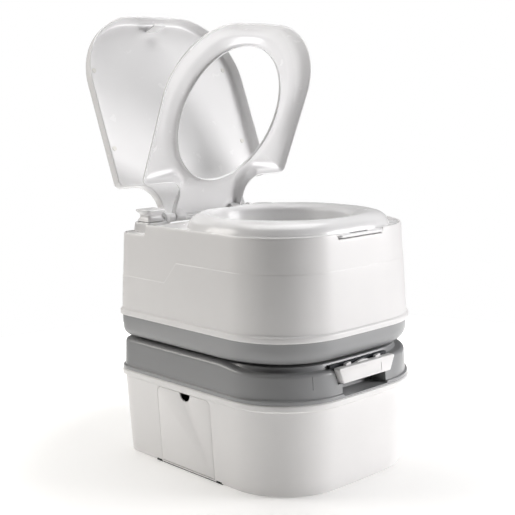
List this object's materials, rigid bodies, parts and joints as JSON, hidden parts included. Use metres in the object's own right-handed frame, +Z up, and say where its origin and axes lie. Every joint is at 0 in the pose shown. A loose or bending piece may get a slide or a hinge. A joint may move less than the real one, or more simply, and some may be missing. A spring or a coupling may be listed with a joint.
{
  "type": "portable camp toilet",
  "caption": "Portable flush toilet: bowl, seat and lid on a white flush tank, clipped on a waste tank with a slide valve, pull handle, pour spout and access panel.",
  "frame": {"origin": "on the floor under the middle of the body", "axes": "+Z up, -Y the front with the pull handle, +Y the hinge side, -X the side with the access panel"},
  "size_m": [0.356, 0.518, 0.7376],
  "materials": {
    "white_shell": "satin moulded white",
    "gloss_white": "polished white",
    "grey_shell": "satin mid grey",
    "dark_plastic": "satin charcoal",
    "seal_rubber": "matte black rubber",
    "steel": "plain stainless",
    "natural_plastic": "natural translucent"
  },
  "bodies": {
    "base": {"base_tub": "white_shell", "waste_tank": "grey_shell", "valve_housing": "dark_plastic", "mouth_seal": "seal_rubber", "valve_screws": "steel", "spout_gasket": "seal_rubber", "vent_spring": "steel", "latch_pin": "steel", "flush_tray": "grey_shell", "flush_shell": "white_shell", "bowl": "gloss_white", "bowl_gasket": "seal_rubber", "flush_nozzle": "natural_plastic", "flush_hose": "natural_plastic", "pump_housing": "gloss_white", "suction_tube": "natural_plastic", "filler_neck": "gloss_white", "hinge_pins": "steel"},
    "valve": {"valve_blade": "dark_plastic", "valve_handle": "white_shell"},
    "panel": {"side_panel": "white_shell"},
    "spout": {"pour_spout": "grey_shell"},
    "spout_lid": {"spout_cap": "dark_plastic"},
    "vent": {"vent_button": "dark_plastic"},
    "latch": {"rear_latch": "dark_plastic"},
    "pump": {"pump_knob": "gloss_white", "pump_rod": "natural_plastic"},
    "cap": {"fill_cap": "gloss_white", "cap_seal": "seal_rubber"},
    "seat": {"seat": "gloss_white"},
    "lid": {"lid": "gloss_white", "lid_pads": "natural_plastic"}
  },
  "joints": [
    {"name": "valve_pull", "type": "slide", "parent": "base", "child": "valve", "axis": [0, -1, 0], "range_m": [0, 0.1]},
    {"name": "panel_tilt", "type": "hinge", "parent": "base", "child": "panel", "pos_m": [-0.1649, 0.026, 0.0085], "axis": [0, -1, 0], "range_deg": [0, 80]},
    {"name": "spout_swivel", "type": "hinge", "parent": "base", "child": "spout", "pos_m": [-0.136, 0.026, 0.07], "axis": [-1, 0, 0], "range_deg": [-90, 90]},
    {"name": "spout_cap_turn", "type": "hinge", "parent": "spout", "child": "spout_lid", "pos_m": [-0.136, 0.026, 0.115], "axis": [0, 0, 1], "range_deg": [0, 360]},
    {"name": "vent_press", "type": "slide", "parent": "base", "child": "vent", "axis": [1, 0, 0], "range_m": [0, 0.005], "stiffness_N_per_m": 400, "springref_m": -0.003, "deforming": ["vent_spring"]},
    {"name": "latch_swing", "type": "hinge", "parent": "base", "child": "latch", "pos_m": [0, 0.203, 0.176], "axis": [-1, 0, 0], "range_deg": [0, 100]},
    {"name": "pump_pull", "type": "slide", "parent": "base", "child": "pump", "axis": [0, 0, 1], "range_m": [0, 0.023]},
    {"name": "fill_cap_turn", "type": "hinge", "parent": "base", "child": "cap", "pos_m": [0.131, 0.152, 0.39], "axis": [0, 0, 1], "range_deg": [0, 360]},
    {"name": "seat_hinge", "type": "hinge", "parent": "base", "child": "seat", "pos_m": [0, 0.1537, 0.3962], "axis": [1, 0, 0], "range_deg": [0, 66]},
    {"name": "lid_hinge", "type": "hinge", "parent": "seat", "child": "lid", "pos_m": [0, 0.1537, 0.3962], "axis": [1, 0, 0], "range_deg": [0, 45]}
  ]
}
